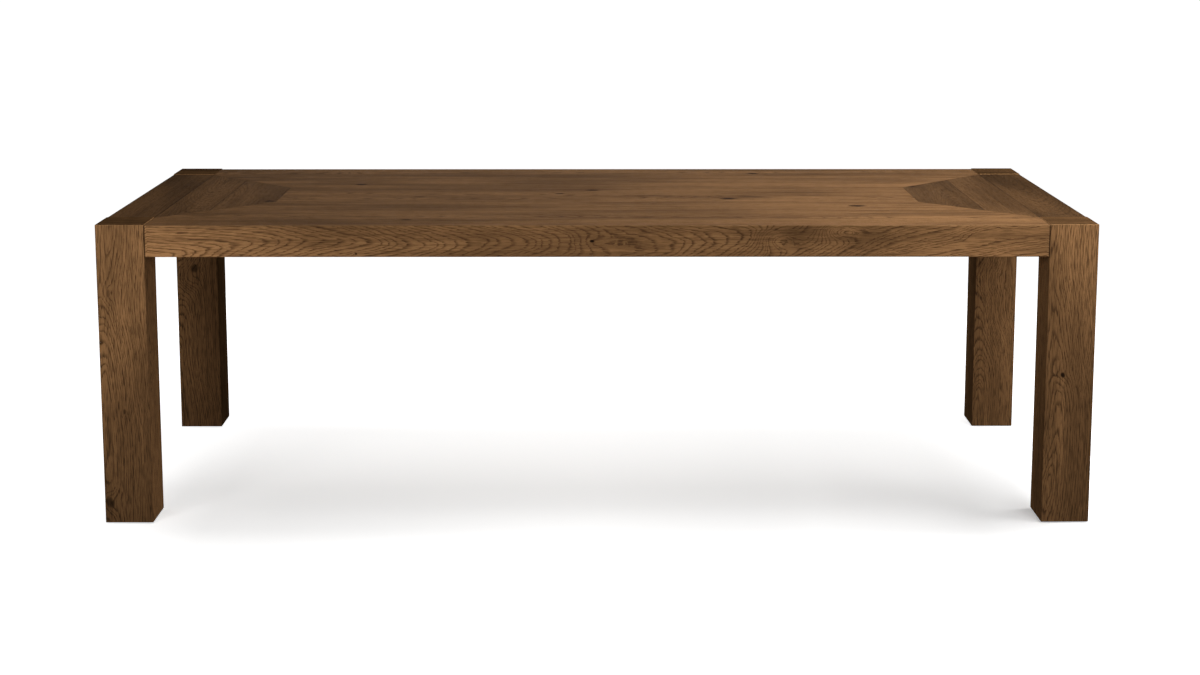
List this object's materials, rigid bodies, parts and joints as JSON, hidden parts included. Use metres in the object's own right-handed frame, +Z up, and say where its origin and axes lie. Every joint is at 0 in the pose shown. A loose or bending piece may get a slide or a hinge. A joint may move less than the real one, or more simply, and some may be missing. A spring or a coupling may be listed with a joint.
{
  "type": "dining table",
  "caption": "Long rectangular dining table in smoked oak: square corner legs flush with deep rails, and a flush plank deck with mitred end boards.",
  "frame": {"origin": "on the floor under the centre of the table", "axes": "+X along the length, to the right as seen from the front; +Y to the rear; +Z up"},
  "size_m": [2.44, 1.016, 0.752],
  "materials": {
    "deck_oak": "smoked, satin oil",
    "rail_oak": "smoked, satin oil",
    "leg_oak": "smoked, satin oil",
    "core_plywood": "sanded, unfinished",
    "beech": "planed, unfinished",
    "zinc_steel": "zinc plated",
    "nylon": "moulded, matte"
  },
  "bodies": {
    "table": {"batten_centre": "beech", "batten_left": "beech", "batten_right": "beech", "batten_screws": "zinc_steel", "cleat_screws": "zinc_steel", "face_centre_front": "deck_oak", "face_centre_rear": "deck_oak", "face_front_inner": "deck_oak", "face_front_outer": "deck_oak", "face_left_inner": "deck_oak", "face_left_middle": "deck_oak", "face_left_outer": "deck_oak", "face_rear_inner": "deck_oak", "face_rear_outer": "deck_oak", "face_right_inner": "deck_oak", "face_right_middle": "deck_oak", "face_right_outer": "deck_oak", "leg_bolt_inserts": "zinc_steel", "leg_bolt_washers": "zinc_steel", "leg_bolts": "zinc_steel", "leg_cleats_end": "beech", "leg_cleats_side": "beech", "leg_foot_blocks": "beech", "leg_front_left_cap": "leg_oak", "leg_front_left_stave_front": "leg_oak", "leg_front_left_stave_left": "leg_oak", "leg_front_left_stave_rear": "leg_oak", "leg_front_left_stave_right": "leg_oak", "leg_front_right_cap": "leg_oak", "leg_front_right_stave_front": "leg_oak", "leg_front_right_stave_left": "leg_oak", "leg_front_right_stave_rear": "leg_oak", "leg_front_right_stave_right": "leg_oak", "leg_rear_left_cap": "leg_oak", "leg_rear_left_stave_front": "leg_oak", "leg_rear_left_stave_left": "leg_oak", "leg_rear_left_stave_rear": "leg_oak", "leg_rear_left_stave_right": "leg_oak", "leg_rear_right_cap": "leg_oak", "leg_rear_right_stave_front": "leg_oak", "leg_rear_right_stave_left": "leg_oak", "leg_rear_right_stave_rear": "leg_oak", "leg_rear_right_stave_right": "leg_oak", "leg_top_blocks": "beech", "levelling_inserts": "zinc_steel", "rail_front": "rail_oak", "rail_left": "rail_oak", "rail_rear": "rail_oak", "rail_right": "rail_oak", "top_core_panel": "core_plywood"},
    "foot_front_left": {"levelling_pad_front_left": "nylon", "levelling_stem_front_left": "zinc_steel"},
    "foot_front_right": {"levelling_pad_front_right": "nylon", "levelling_stem_front_right": "zinc_steel"},
    "foot_rear_left": {"levelling_pad_rear_left": "nylon", "levelling_stem_rear_left": "zinc_steel"},
    "foot_rear_right": {"levelling_pad_rear_right": "nylon", "levelling_stem_rear_right": "zinc_steel"}
  },
  "joints": [
    {"name": "foot_front_left_slide", "type": "slide", "parent": "table", "child": "foot_front_left", "axis": [0, 0, -1], "range_m": [0, 0.012]},
    {"name": "foot_front_right_slide", "type": "slide", "parent": "table", "child": "foot_front_right", "axis": [0, 0, -1], "range_m": [0, 0.012]},
    {"name": "foot_rear_left_slide", "type": "slide", "parent": "table", "child": "foot_rear_left", "axis": [0, 0, -1], "range_m": [0, 0.012]},
    {"name": "foot_rear_right_slide", "type": "slide", "parent": "table", "child": "foot_rear_right", "axis": [0, 0, -1], "range_m": [0, 0.012]}
  ]
}
